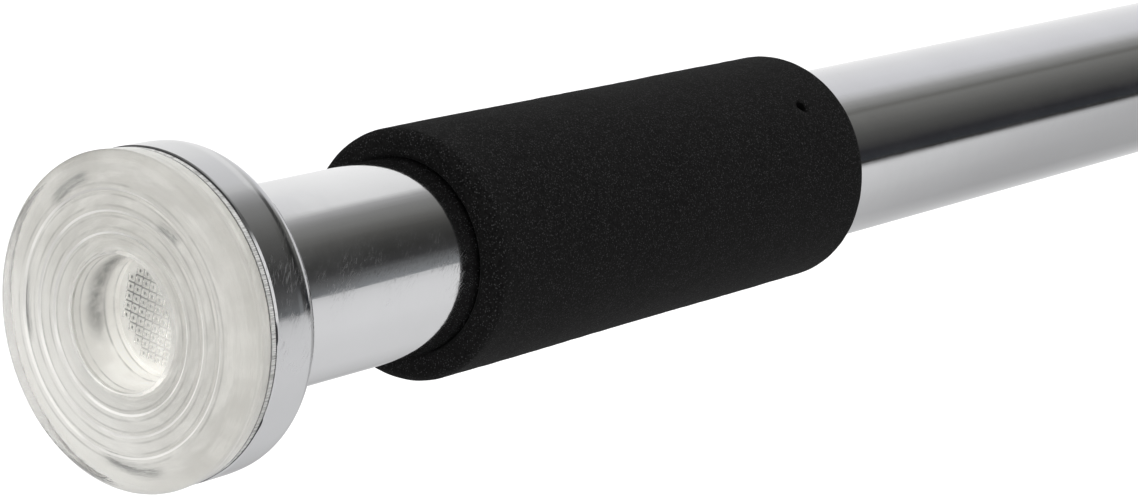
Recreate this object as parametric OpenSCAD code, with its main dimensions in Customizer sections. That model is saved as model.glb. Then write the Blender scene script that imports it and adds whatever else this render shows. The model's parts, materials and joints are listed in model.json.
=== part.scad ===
// Telescopic doorway pull up bar, shown screwed in to its shortest.
// X runs along the bar. The origin is the centre of the near pad's outer face.

/* [Tubes] */
// Outside diameter of the outer tube
tube_d = 32; // [28:0.5:38]
// Length of the outer tube
tube_len = 540; // [500:5:600]
// Wall thickness of both tubes
tube_wall = 1.2; // [0.8:0.1:1.6]
// Radial space between the outer tube's bore and the inner tube
tube_gap = 0.8; // [0.5:0.1:2]
// Length of inner tube that shows when the bar is at its shortest
inner_show = 45.5; // [10:0.5:100]
// How far the inner tube screws out
travel = 380; // [200:5:400]

/* [End cups] */
// Outside diameter of each pressed cup
cup_d = 49.8; // [46:0.2:56]
// Depth of the cup, from its lip to its back face
cup_depth = 9.3; // [8:0.1:14]
// Sheet thickness of the cup
cup_sheet = 1.2; // [0.8:0.1:2]
// Outside bend radius between the cup's wall and its floor
cup_bend = 2.6; // [2.2:0.1:4]

/* [Pads] */
// How far the pad's edge stands out past its cup
pad_over = 0.5; // [0.1:0.1:2]
// Height of the pad that stands out of its cup
pad_stand = 6.3; // [5.5:0.1:12]
// Rounding of the pad's front edge
pad_round = 1.8; // [0.5:0.1:3]
// Width of the ribbed band behind the pad's edge
band_w = 1.3; // [0.5:0.1:2]
// How far the ribbed band sits below the pad's edge
band_step = 0.45; // [0.1:0.05:1]
// Diameter of the recess at the pad's face
recess_d = 20.6; // [14:0.2:24]
// Diameter of the recess at its floor
recess_floor_d = 18.4; // [12:0.2:22]
// Depth of the recess
recess_depth = 9.6; // [4:0.1:10]
// Number of ring grooves in the pad's face
ring_count = 3; // [1:1:3]
// Radius of the first ring groove
ring_first = 13.3; // [12.8:0.1:14]
// Distance from one ring groove to the next
ring_pitch = 3.2; // [1.5:0.1:3.6]
// Depth of each ring groove
ring_depth = 0.35; // [0.2:0.05:0.8]
// Wall outside the moulded channel in the pad's back
channel_wall = 1.7; // [1:0.1:4]
// Width of the moulded channel in the pad's back
channel_w = 8; // [3:0.1:9]
// Depth of the moulded channel in the pad's back
channel_depth = 6.4; // [2:0.1:8]

/* [Cup pins] */
// Diameter of the pin or bolt through each cup's floor
pin_d = 8; // [6:0.5:10]
// Diameter of its flat head
pin_head_d = 16; // [13:0.5:18]
// Height of its head
pin_head_h = 2.4; // [1.5:0.1:2.6]
// Chamfer of its head and of its end
pin_chamfer = 0.8; // [0.2:0.1:1.2]
// Length of the far bolt under its head
bolt_len = 22; // [12:1:40]

/* [Swivel] */
// Radial clearance of the thrust washer in the outer tube
thrust_play = 1.8; // [0.3:0.1:4]
// Thickness of the thrust washer
thrust_h = 2; // [1:0.1:4]
// Thickness of the plug that turns on the pivot pin
pivot_plug_h = 10; // [5:0.5:20]
// Outside diameter of the washer under the lock nut
lock_washer_d = 16; // [13:0.5:20]
// Thickness of the washer under the lock nut
lock_washer_h = 1.6; // [0.8:0.1:3]
// Width across the flats of the lock nut
lock_nut_af = 13; // [12:0.5:19]
// Height of the lock nut
lock_nut_h = 8; // [4:0.5:12]
// Pin that shows past the lock nut
pin_proud = 1; // [0:0.1:3]

/* [Screw drive] */
// Diameter of the lead screw
screw_d = 12; // [10:0.5:16]
// Space between the pivot pin's end and the screw's plug
plug_space = 3.7; // [1:0.1:20]
// Length of the plug that holds the lead screw
screw_plug_len = 20; // [15:1:40]
// Diameter of the pin across the screw and its plug
cross_pin_d = 4; // [2:0.5:6]
// Space between the screw's plug and the travelling nut's nose at the shortest
park_gap = 3.4; // [1:0.1:20]
// Length of the travelling nut inside the inner tube
nut_len = 24; // [12:1:40]
// Thickness of the nut's shoulder on the inner tube's end
nut_shoulder = 3; // [2:0.5:6]
// Space left to the end stop at the longest
stop_space = 1; // [0.3:0.1:5]
// Radial clearance of the end stop's washer in the inner tube
stop_play = 1.3; // [0.3:0.1:2]
// Thickness of the end stop's washer
stop_washer_h = 2; // [1:0.5:4]
// Width across the flats of the stop nut
stop_nut_af = 18; // [17:0.5:19]
// Height of the stop nut
stop_nut_h = 10; // [6:0.5:14]
// Lead screw that shows past the stop nut
screw_proud = 3; // [1.5:0.5:6]
// Chamfer of the lead screw's end
screw_chamfer = 1; // [0.2:0.1:1.5]
// Length of the plug in the far end of the inner tube
far_plug_len = 25; // [24:1:50]

/* [Guides] */
// Wall of the guide ring on the travelling nut's nose
guide_wall = 3.75; // [1:0.25:5]
// Width of the guide ring
guide_w = 6; // [4:0.5:15]
// Length of the mouth bush inside the outer tube
bush_len = 25; // [10:1:40]
// How far the mouth bush's rim stands out past the outer tube
bush_over = 0.6; // [0.1:0.1:3]
// Thickness of the mouth bush's rim
bush_rim_h = 3; // [2:0.1:6]
// Rounding of the rim's outer edge
bush_round = 1; // [0.2:0.1:1.4]

/* [Grips] */
// Thickness of the foam on the outer tube
grip_wall = 4.6; // [3.6:0.1:9]
// Length of each foam grip
grip_len = 106.4; // [80:0.2:160]
// Rounding of the grips' ends
grip_round = 3; // [1:0.1:3.4]
// Bare outer tube before the near grip
grip_near = 47; // [10:1:80]
// Bare outer tube past the far grip
grip_far = 20; // [5:1:80]

/* [Clearances] */
// Radial running clearance of pins, the nut and the guides
run = 0.05; // [0.02:0.01:0.1]
// End float of the swivel
end_float = 0.05; // [0.02:0.01:0.2]
// Open gap between the near cup and the turning tube
swivel_gap = 0.3; // [0.2:0.05:1]
// Radial clearance of a washer on its pin or screw
washer_play = 0.2; // [0.1:0.05:0.5]
// Clearance of the pad around the pin's head
head_play = 0.3; // [0.1:0.05:1]
// Gap between the pad's band and the cup's lip
lip_gap = 0.1; // [0.05:0.05:0.3]

/* [Hidden] */
$fn = 96;
HEX = 6;
// How far a cut runs past the face it opens
CUT = 1;

tube_r = tube_d / 2;
tube_bore_r = tube_r - tube_wall;
inner_r = tube_bore_r - tube_gap;
inner_bore_r = inner_r - tube_wall;
grip_r = tube_r + grip_wall;
rim_r = tube_r + bush_over;
nose_r = tube_bore_r - run - guide_wall;
cup_r = cup_d / 2;
pad_r = cup_r + pad_over;
channel_out = cup_r - cup_bend - channel_wall;
pin_r = pin_d / 2;
screw_r = screw_d / 2;

// Places along the bar
cup_back = pad_stand + cup_depth;
cup_floor = cup_back - cup_sheet;
tube_start = cup_back + swivel_gap;
tube_end = tube_start + tube_len;
plug_start = cup_back + thrust_h + end_float;
lock_start = plug_start + pivot_plug_h + end_float;
pin_end = lock_start + lock_washer_h + lock_nut_h + pin_proud;
screw_start = pin_end + plug_space;
nose_start = screw_start + screw_plug_len + park_gap;
inner_start = nose_start + guide_w + nut_shoulder;
nut_end = inner_start + nut_len;
stop_start = nut_end + travel + stop_space;
screw_end = stop_start + stop_washer_h + stop_nut_h + screw_proud;
far_cup_back = tube_end + bush_rim_h + inner_show;
bar_len = far_cup_back + cup_back;

// Turns what is drawn up the Z axis into the bar's direction, starting at x
module along(x = 0) translate([x, 0, 0]) rotate([0, 90, 0]) children();

// The other end of the bar is the same end, turned round
module far_end() translate([bar_len, 0, 0]) mirror([1, 0, 0]) children();

// A ring or disc from x, with an optional bore
module disc(x, r, h, bore = 0) along(x) difference() {
    cylinder(r = r, h = h);
    if (bore > 0) translate([0, 0, -h]) cylinder(r = bore, h = 3 * h);
}

// A hexagon nut from x
module hex_nut(x, flats, h, bore) along(x) difference() {
    cylinder(d = flats / cos(180 / HEX), h = h, $fn = HEX);
    translate([0, 0, -h]) cylinder(r = bore, h = 3 * h);
}

// Half section of a disc from height 0 up to h, with its outer edge at height 0 rounded
module rounded_front(r, h, round) {
    square([r - round, h]);
    translate([0, round]) square([r, h - round]);
    translate([r - round, round]) circle(r = round);
}

// Half section of a pad: radius across, depth from its face upwards
module pad_section() difference() {
    union() {
        rounded_front(pad_r, pad_stand - band_w - lip_gap, pad_round);
        square([pad_r - band_step, pad_stand - lip_gap]);
        square([cup_r - cup_sheet, cup_floor - cup_bend + cup_sheet]);
        square([cup_r - cup_bend, cup_floor]);
    }
    polygon([[-CUT, -CUT], [recess_d / 2, -CUT], [recess_d / 2, 0],
             [recess_floor_d / 2, recess_depth], [-CUT, recess_depth]]);
    for (i = [0 : ring_count - 1]) translate([ring_first + i * ring_pitch, 0]) circle(r = ring_depth);
    translate([channel_out - channel_w, cup_floor - channel_depth]) square([channel_w, channel_depth + CUT]);
    translate([-CUT, cup_floor - pin_head_h - head_play])
        square([pin_head_d / 2 + head_play + CUT, pin_head_h + head_play + CUT]);
}

module pad() along() rotate_extrude() pad_section();

// Half section of a cup: a wall with a rounded lip, a bend and a floor
module cup_section() {
    lip_r = cup_sheet / 2;
    bend_r = cup_r - cup_bend;
    bend_h = cup_back - cup_bend;
    translate([cup_r - lip_r, pad_stand + lip_r]) circle(r = lip_r);
    translate([cup_r - cup_sheet, pad_stand + lip_r]) square([cup_sheet, bend_h - pad_stand - lip_r]);
    translate([pin_r, cup_floor]) square([bend_r - pin_r, cup_sheet]);
    intersection() {
        translate([bend_r, bend_h]) difference() {
            circle(r = cup_bend);
            circle(r = cup_bend - cup_sheet);
        }
        translate([bend_r, bend_h]) square(cup_bend);
    }
}

module cup() along() rotate_extrude() cup_section();

// A flat head inside the cup, with a shank through its floor to depth "end"
module headed_pin(end) {
    head = cup_floor - pin_head_h;
    head_r = pin_head_d / 2;
    along() rotate_extrude() polygon([
        [0, head], [head_r - pin_chamfer, head], [head_r, head + pin_chamfer], [head_r, cup_floor],
        [pin_r, cup_floor], [pin_r, end - pin_chamfer], [pin_r - pin_chamfer, end], [0, end]]);
}

// A sleeve on the outer tube from x, with both outer edges rounded
module grip(x) along(x) rotate_extrude() difference() {
    union() {
        translate([0, grip_round]) square([grip_r, grip_len - 2 * grip_round]);
        square([grip_r - grip_round, grip_len]);
        for (h = [grip_round, grip_len - grip_round])
            translate([grip_r - grip_round, h]) circle(r = grip_round);
    }
    translate([-CUT, -CUT]) square([tube_r + CUT, grip_len + 2 * CUT]);
}

module near_pad() color([0.86, 0.86, 0.84, 0.6]) pad();
module far_pad() color([0.86, 0.86, 0.84, 0.6]) far_end() pad();
module near_cup() color("silver") cup();
module far_cup() color("silver") far_end() cup();

module pivot_pin() color("lightsteelblue") headed_pin(pin_end);
module far_bolt() color("lightsteelblue") far_end() headed_pin(cup_floor + bolt_len);

module thrust_washer() color("goldenrod")
    disc(cup_back, tube_bore_r - thrust_play, thrust_h, pin_r + washer_play);

module pivot_plug() color("gray")
    disc(plug_start, tube_bore_r, pivot_plug_h, pin_r + run);

module lock_washer() color("lightgray")
    disc(lock_start, lock_washer_d / 2, lock_washer_h, pin_r + washer_play);

module lock_nut() color("lightgray")
    hex_nut(lock_start + lock_washer_h, lock_nut_af, lock_nut_h, pin_r);

module outer_tube() color("gainsboro") disc(tube_start, tube_r, tube_len, tube_bore_r);

module inner_tube() color("gainsboro")
    disc(inner_start, inner_r, far_cup_back - inner_start, inner_bore_r);

// The pin across the middle of the screw's plug, or the bore for it
module across(length) translate([screw_start + screw_plug_len / 2, 0, 0])
    cylinder(d = cross_pin_d, h = length, center = true);

// Bored across for the pin that keeps the screw from turning in it
module screw_plug() color("gray") difference() {
    disc(screw_start, tube_bore_r, screw_plug_len, screw_r);
    across(tube_d);
}

module cross_pin() color("lightsteelblue") across(2 * (tube_bore_r - washer_play));

// Plain at its thread's outside diameter, with a chamfered end
module lead_screw() color("slategray") difference() {
    along() rotate_extrude() polygon([
        [0, screw_start], [screw_r, screw_start], [screw_r, screw_end - screw_chamfer],
        [screw_r - screw_chamfer, screw_end], [0, screw_end]]);
    across(tube_d);
}

module stop_washer() color("lightgray")
    disc(stop_start, inner_bore_r - stop_play, stop_washer_h, screw_r + washer_play);

module stop_nut() color("lightgray")
    hex_nut(stop_start + stop_washer_h, stop_nut_af, stop_nut_h, screw_r);

// Nose for the guide ring, shoulder on the tube's end, and a body inside the tube
module travel_nut() color("darkkhaki") along(nose_start) rotate_extrude() {
    bore_r = screw_r + run;
    translate([bore_r, 0]) square([nose_r - bore_r, guide_w]);
    translate([bore_r, guide_w]) square([inner_r - bore_r, nut_shoulder]);
    translate([bore_r, guide_w + nut_shoulder]) square([inner_bore_r - bore_r, nut_len]);
}

module guide_ring() color("ivory") disc(nose_start, tube_bore_r - run, guide_w, nose_r);

// A thin sleeve in the tube's mouth and a rim with a rounded outer edge
module mouth_bush() color("dimgray") along(tube_end - bush_len) rotate_extrude() {
    bore_r = inner_r + run;
    translate([bore_r, 0]) square([tube_bore_r - bore_r, bush_len]);
    translate([bore_r, bush_len]) square([rim_r - bore_r, bush_rim_h - bush_round]);
    translate([bore_r, bush_len]) square([rim_r - bush_round - bore_r, bush_rim_h]);
    translate([rim_r - bush_round, bush_len + bush_rim_h - bush_round]) circle(r = bush_round);
}

module far_plug() color("gray")
    disc(far_cup_back - far_plug_len, inner_bore_r, far_plug_len, pin_r);

module near_grip() color([0.13, 0.13, 0.13]) grip(tube_start + grip_near);
module far_grip() color([0.13, 0.13, 0.13]) grip(tube_end - grip_far - grip_len);

near_pad();
near_cup();
pivot_pin();
thrust_washer();
lock_washer();
lock_nut();
outer_tube();
pivot_plug();
screw_plug();
lead_screw();
cross_pin();
stop_washer();
stop_nut();
mouth_bush();
near_grip();
far_grip();
inner_tube();
travel_nut();
guide_ring();
far_plug();
far_bolt();
far_cup();
far_pad();
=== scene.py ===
"""Looks of a telescopic doorway pull up bar, dressed around its packed construction.

X runs along the bar from the centre of the near pad's face, and everything is in metres.
"""

import json
import math

import bmesh
import bpy
from mathutils import Matrix, Vector, geometry, noise


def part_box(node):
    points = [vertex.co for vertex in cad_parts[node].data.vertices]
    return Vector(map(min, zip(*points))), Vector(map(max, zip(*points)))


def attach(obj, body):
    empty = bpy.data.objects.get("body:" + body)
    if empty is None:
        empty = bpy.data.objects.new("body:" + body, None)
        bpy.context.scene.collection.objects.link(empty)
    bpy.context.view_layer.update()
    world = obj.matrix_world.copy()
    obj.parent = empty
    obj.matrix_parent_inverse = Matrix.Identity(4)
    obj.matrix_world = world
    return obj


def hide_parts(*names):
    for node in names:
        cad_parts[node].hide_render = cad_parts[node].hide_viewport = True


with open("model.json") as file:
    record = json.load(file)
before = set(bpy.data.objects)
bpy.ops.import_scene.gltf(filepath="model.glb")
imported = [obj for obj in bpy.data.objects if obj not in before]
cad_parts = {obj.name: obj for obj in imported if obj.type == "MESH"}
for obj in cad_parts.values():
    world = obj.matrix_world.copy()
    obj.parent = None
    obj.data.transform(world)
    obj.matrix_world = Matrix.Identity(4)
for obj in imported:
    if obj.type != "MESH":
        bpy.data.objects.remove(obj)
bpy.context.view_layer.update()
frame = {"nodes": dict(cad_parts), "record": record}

MM = 0.001
FULL_TURN = 2 * math.pi

# Sizes and places read from the construction
_, PAD_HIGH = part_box("near_pad")
CUP_LOW, CUP_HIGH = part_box("near_cup")
GRIP_LOW, GRIP_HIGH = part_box("near_grip")
FAR_GRIP_LOW, FAR_GRIP_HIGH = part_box("far_grip")
PIN_LOW, PIN_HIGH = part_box("pivot_pin")
BAR_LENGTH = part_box("far_pad")[1].x
# Each end of the bar, the body that its cup and pad ride on, and whether it is turned round
ENDS = (("near", "near_end", False), ("far", "inner_bar", True))
PAD_R = PAD_HIGH.y
PAD_BACK = PAD_HIGH.x
CUP_R = CUP_HIGH.y
TUBE_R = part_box("outer_tube")[1].y
GRIP_R = GRIP_HIGH.y
PIN_HEAD_R = PIN_HIGH.y

# The pressed cup's wall stands out a little fuller than its plain solid
CUP_OUT = CUP_R + 0.38 * MM
CUP_SHEET = 1.2 * MM


# ---- shader tools

BLACK = 0.0
WHITE = 1.0


def node(tree, kind, inputs=None, **settings):
    """Adds a shader node. An input is a value, or a socket that is linked to it."""
    made = tree.nodes.new(kind)
    for name, value in settings.items():
        setattr(made, name, value)
    for name, value in (inputs or {}).items():
        if isinstance(value, bpy.types.NodeSocket):
            tree.links.new(value, made.inputs[name])
        else:
            made.inputs[name].default_value = value
    return made


def feed(shader, label, value):
    """Links a varying value to one of a shader's sockets."""
    shader.id_data.links.new(value, shader.inputs[label])


def maths(tree, operation, *values):
    """One arithmetic node, and its result."""
    return node(tree, "ShaderNodeMath", dict(enumerate(values)), operation=operation).outputs[0]


def times(tree, first, second):
    """Two values multiplied."""
    return maths(tree, "MULTIPLY", first, second)


def plus(tree, first, second):
    """Two values added."""
    return maths(tree, "ADD", first, second)


def smooth(tree, value, start, end, low=0.0, high=1.0):
    """A value eased from low at start to high at end."""
    inputs = {"Value": value, "From Min": start, "From Max": end, "To Min": low, "To Max": high}
    return node(tree, "ShaderNodeMapRange", inputs, interpolation_type="SMOOTHSTEP").outputs[0]


def away_from(tree, value, middle):
    """How far a value is from a middle, to either side."""
    return maths(tree, "ABSOLUTE", maths(tree, "SUBTRACT", value, middle))


def colour_of(tone):
    """A colour with its alpha, from a colour or the tone of a plain grey. A socket stays as it is."""
    if isinstance(tone, bpy.types.NodeSocket):
        return tone
    return (*tone, 1) if isinstance(tone, tuple) else (tone, tone, tone, 1)


def ramp(tree, value, stops):
    """A colour that changes with a value from 0 to 1, from (place, tone) stops."""
    made = node(tree, "ShaderNodeValToRGB", {"Fac": value})
    elements = made.color_ramp.elements
    while len(elements) > 1:
        elements.remove(elements[-1])
    elements[0].position, elements[0].color = stops[0][0], colour_of(stops[0][1])
    for place, tone in stops[1:]:
        elements.new(place).color = colour_of(tone)
    return made.outputs["Color"]


def mixed(tree, factor, first, second):
    """Two colours mixed."""
    inputs = {0: factor, 6: colour_of(first), 7: colour_of(second)}
    return node(tree, "ShaderNodeMix", inputs, data_type="RGBA").outputs[2]


def on_piece(tree, scale=(1, 1, 1)):
    """Coordinates on the piece in metres, stretched by a scale along each axis."""
    place = node(tree, "ShaderNodeTexCoord").outputs["Object"]
    return node(tree, "ShaderNodeMapping", {"Vector": place, "Scale": scale}).outputs["Vector"]


def position(tree):
    """The x, y and z of a place on the piece, in metres."""
    return node(tree, "ShaderNodeSeparateXYZ", {"Vector": on_piece(tree)}).outputs


def noisy(tree, vector, scale, detail=2.0, roughness=0.5):
    """Soft noise from 0 to 1."""
    inputs = {"Vector": vector, "Scale": scale, "Detail": detail, "Roughness": roughness}
    return node(tree, "ShaderNodeTexNoise", inputs).outputs["Fac"]


def new_group(name, labels):
    """An empty node group with named inputs, and their sockets."""
    tree = bpy.data.node_groups.new(name, "ShaderNodeTree")
    for label in labels:
        tree.interface.new_socket(label, in_out="INPUT", socket_type="NodeSocketFloat")
    return tree, node(tree, "NodeGroupInput").outputs


def give_results(tree, results):
    """Gives a node group its named outputs."""
    for label in results:
        tree.interface.new_socket(label, in_out="OUTPUT", socket_type="NodeSocketFloat")
    node(tree, "NodeGroupOutput", results)
    return tree


def use_group(tree, group, inputs):
    """Places a node group in a material with its own values, and gives its outputs."""
    return node(tree, "ShaderNodeGroup", inputs, node_tree=group).outputs


def new_material(name, **values):
    """A material with one Principled shader, whose plain values are set on its own sockets."""
    made = bpy.data.materials.new(name)
    made.use_nodes = True
    shader = made.node_tree.nodes["Principled BSDF"]
    for label, value in values.items():
        shader.inputs[label.replace("_", " ")].default_value = value
    return made, made.node_tree, shader


def bump(tree, shader, height, strength, distance):
    """Raises the surface by a height from 0 to 1."""
    inputs = {"Height": height, "Strength": strength, "Distance": distance}
    feed(shader, "Normal", node(tree, "ShaderNodeBump", inputs).outputs["Normal"])


# ---- places on a round piece

HOURS = 12.0
# How far an hour of the clock is round the tube or a cup
HOUR_ARC = 0.011
# How much a drawn-out streak moves on with its distance along the bar
STREAK_LEAN = 0.43


def off_axis(tree, y, z):
    """The distance from the bar's axis."""
    squares = plus(tree, times(tree, y, y), times(tree, z, z))
    return maths(tree, "SQRT", squares)


def polar(tree):
    """Where a place is along the bar and off its axis in metres, and the clock hour round it."""
    x, y, z = position(tree)
    turn = maths(tree, "DIVIDE", maths(tree, "ARCTAN2", times(tree, y, -1.0), z), FULL_TURN)
    return x, off_axis(tree, y, z), times(tree, maths(tree, "FRACT", turn), HOURS)


def drawn_round(tree, across, along):
    """Coordinates drawn out round the axis, from how fine they are across and along the rings."""
    x, y, z = position(tree)
    radius = off_axis(tree, y, z)
    outward = maths(tree, "MULTIPLY_ADD", x, STREAK_LEAN, radius)
    turned_y = times(tree, maths(tree, "DIVIDE", y, radius), along)
    turned_z = times(tree, maths(tree, "DIVIDE", z, radius), along)
    places = {"X": times(tree, outward, across), "Y": turned_y, "Z": turned_z}
    return node(tree, "ShaderNodeCombineXYZ", places).outputs[0]


def streaks(tree, across, low):
    """Fine streaks drawn out round the axis, from a low share to 1."""
    drawn = noisy(tree, drawn_round(tree, across, along=1.6), 1.0, detail=3.0, roughness=0.6)
    return smooth(tree, drawn, start=0.36, end=0.6, low=low)


def thin_ring(tree, radius, middle, width):
    """A ring that is 1 at its middle radius and fades out to either side."""
    return smooth(tree, away_from(tree, radius, middle), 0.0, width, low=1.0, high=0.0)


def soft_arc(tree, radius, hour, row):
    """A soft-edged arc, 1 along its middle, from its radius, width, first and last hour."""
    middle, width, first, last = row
    length = last - first
    across = thin_ring(tree, radius, middle, width)
    late = away_from(tree, hour, (first + last) / 2)
    along = smooth(tree, late, length * 0.25, length * 0.6, low=1.0, high=0.0)
    return times(tree, across, along)


def uneven(tree, mask, scale, low):
    """A mask broken up by noise, from a low share to the whole of it."""
    broken = noisy(tree, on_piece(tree), scale, detail=3.0, roughness=0.6)
    return times(tree, mask, smooth(tree, broken, start=0.3, end=0.65, low=low))


def strongest(tree, masks):
    """The strongest of several masks at each place."""
    most = 0.0
    for mask in masks:
        most = maths(tree, "MAXIMUM", most, mask)
    return most


# ---- shared effects

# Which way the scratches run, in radians from the bar's axis
SCRATCH_SLANTS = (-0.8, -1.15)
# How fine a scratch is drawn along its length, beside across it
SCRATCH_STRETCH = 0.1
# A turned piece's rings hardly change round the axis
LATHE_STRETCH = (1, 0.01, 0.01)


def strokes(tree, slant, scale):
    """Short fine scratches that all run one way on a tube, at a slant from its axis, from 0 to 1."""
    x, _, hour = polar(tree)
    round_it = times(tree, hour, HOUR_ARC)
    first, second = math.cos(slant), math.sin(slant)
    along = maths(tree, "MULTIPLY_ADD", x, first, times(tree, round_it, second))
    across = maths(tree, "MULTIPLY_ADD", x, -second, times(tree, round_it, first))
    places = {"X": times(tree, along, SCRATCH_STRETCH), "Y": across}
    drawn = node(tree, "ShaderNodeCombineXYZ", places).outputs[0]
    return smooth(tree, noisy(tree, drawn, scale), start=0.52, end=0.68)


def handling_marks():
    """Fine scratches and a patchy haze, as on plated steel that has been packed and held."""
    tree, given = new_group("handling_marks", ("Haze Scale", "Scratch Scale"))
    plain = on_piece(tree)
    first, second = [strokes(tree, slant, given["Scratch Scale"]) for slant in SCRATCH_SLANTS]
    kept = smooth(tree, noisy(tree, plain, 170.0, detail=3.0), start=0.4, end=0.56)
    blotches = noisy(tree, on_piece(tree, (0.5, 1, 1)), 300.0, detail=3.0, roughness=0.6)
    return give_results(tree, {
        "Haze": noisy(tree, plain, given["Haze Scale"], detail=4.0, roughness=0.6),
        "Scratches": times(tree, maths(tree, "MAXIMUM", first, second), kept),
        "Waves": noisy(tree, plain, 160.0),
        "Smudges": smooth(tree, blotches, start=0.4, end=0.75),
    })


def lathe_lines():
    """Fine rings around the bar's axis, as a turning tool leaves."""
    tree, given = new_group("lathe_lines", ("Scale",))
    return give_results(tree, {
        "Lines": noisy(tree, on_piece(tree, LATHE_STRETCH), given["Scale"], detail=3.0),
        "Tone": noisy(tree, on_piece(tree), 90.0, detail=3.0),
    })


def moulded_grain():
    """A soft grain with scattered fine specks."""
    tree, given = new_group("moulded_grain", ("Grain Scale", "Speck Scale", "Speck Size"))
    plain = on_piece(tree)
    cells = node(tree, "ShaderNodeTexVoronoi", {"Vector": plain, "Scale": given["Speck Scale"]})
    near = maths(tree, "LESS_THAN", cells.outputs["Distance"], given["Speck Size"])
    return give_results(tree, {
        "Grain": noisy(tree, plain, given["Grain Scale"], detail=3.0, roughness=0.7),
        "Specks": times(tree, near, noisy(tree, plain, given["Speck Scale"], detail=0.0)),
        "Patches": noisy(tree, plain, 70.0, detail=3.0),
    })


MARKS = handling_marks()
LINES = lathe_lines()
GRAIN = moulded_grain()


# ---- finishes

# A fade is where it starts and ends, and then its values there unless they are 0 and 1

# Chrome: how handling wear fades along the bar
WEAR_FADES = (0.06, 0.2, 1.0, 0.25)
# The clock hour that is rubbed most, and how the wear fades with hours away from it
RUBBED_HOUR = 2.8
RUB_FADES = (0.4, 1.1, 1.0, 0.15)
SMUDGE_STRENGTH = 0.35
SCRATCH_STRENGTH = 1.3
DRAWING_LINES = 0.3
SMUDGE_RELIEF = 0.1
POLISH_RELIEF = 0.02 * MM

# Vinyl: the dark grey painted as the cup's reflection and as shade in the bore, and the grey of the painted
# shade lines beside each moulded ring
PAINTED_DARK = (0.20, 0.20, 0.195)
RING_SHADE_GREY = (0.50, 0.50, 0.485)
RING_RADII = [13.3 * MM, 16.5 * MM, 19.7 * MM]
# How far out from a ring each painted shade line is, and how far it fades out to either side
RING_SHADE_LINES = [(-0.62 * MM, 0.24 * MM), (0.95 * MM, 0.3 * MM)]
# Painted reflections of the dark cup, as dark arcs: radius, how far they fade out to either side, first and
# last hour on a clock face
PAINTED_CUP_REFLECTIONS = [(22.4 * MM, 1.2 * MM, 10.5, 11.3), (22.0 * MM, 0.8 * MM, 8.5, 9.5), (22.4 * MM, 1.2 * MM, 5.5, 6.6),
          (15.9 * MM, 1.1 * MM, 0.65, 1.25)]
# The painted shade in the bore, as a dark arc: depth in place of radius
BORE_PAINTED_SHADE = (5.7 * MM, 2.9 * MM, 8.1, 11.6)
# Folds round the bore, where grey lines of painted shade go: depth and width
BORE_FOLDS = [(2.6 * MM, 0.3 * MM), (7.4 * MM, 0.35 * MM), (9.3 * MM, 0.3 * MM)]
# Painted light: the lining glows as if with the light that the clear vinyl gathers, less at its mouth and its
# foot
PAINTED_LINING_GLOW = 0.34
PAINTED_GLOW_DEEPENS = (1.0 * MM, 8.0 * MM, 0.35)
FOOT_HOUR = 6.0
FOOT_FADES = (0.0, 2.2, 1.0, 0.65)

# A small pit in the near grip: its mouth, how wide and deep it is, and its middle
PIT_R = 1.05 * MM
PIT_DEPTH = 1.6 * MM
PIT_TURN = math.radians(136.7)
PIT_OUTWARD = Vector((0.0, math.cos(PIT_TURN), math.sin(PIT_TURN)))
PIT_MOUTH = Vector((GRIP_HIGH.x - 12.8 * MM, 0.0, 0.0)) + PIT_OUTWARD * GRIP_R
PIT_MIDDLE = PIT_MOUTH - PIT_OUTWARD * PIT_DEPTH / 2
# The pit is painted near black as shade, fading out between these distances from its middle
PIT_FADES = (1.1 * MM, 1.3 * MM, 1.0, 0.0)
PIT_PAINTED_SHADE = 0.0002


def chrome_plate(name, light, dark, gloss, wear, relief):
    """Polished chrome on steel. Wear is how much smudges and scratches show; relief is how wavy it is."""
    made, tree, shader = new_material(name, Metallic=1.0)
    marks = use_group(tree, MARKS, {"Haze Scale": 45.0, "Scratch Scale": 4200.0})
    haze, smudges = marks["Haze"], marks["Smudges"]
    x, _, hour = polar(tree)
    rubbed = smooth(tree, away_from(tree, hour, RUBBED_HOUR), *RUB_FADES)
    handled = times(tree, smooth(tree, x, *WEAR_FADES), rubbed)
    feed(shader, "Base Color", mixed(tree, haze, light, dark))
    sharp = times(tree, marks["Scratches"], SCRATCH_STRENGTH)
    marked = plus(tree, times(tree, smudges, SMUDGE_STRENGTH), sharp)
    worn = times(tree, times(tree, marked, wear), handled)
    clean = smooth(tree, haze, start=0.3, end=0.75, low=gloss * 0.7, high=gloss * 1.3)
    feed(shader, "Roughness", plus(tree, clean, worn))
    drawn = noisy(tree, on_piece(tree, (0.03, 1, 1)), 1300.0, detail=3.0)
    waves = plus(tree, marks["Waves"], times(tree, drawn, DRAWING_LINES))
    fine = times(tree, times(tree, smudges, handled), SMUDGE_RELIEF)
    bump(tree, shader, plus(tree, waves, fine), relief, POLISH_RELIEF)
    return made


def ring_shade_lines(tree, radius):
    """Painted shade as thin grey lines beside the pad's moulded rings, broken up."""
    lines = [(ring + offset, width) for ring in RING_RADII for offset, width in RING_SHADE_LINES]
    masks = [thin_ring(tree, radius, middle, width) for middle, width in lines]
    return uneven(tree, strongest(tree, masks), 130.0, low=0.1)


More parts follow.
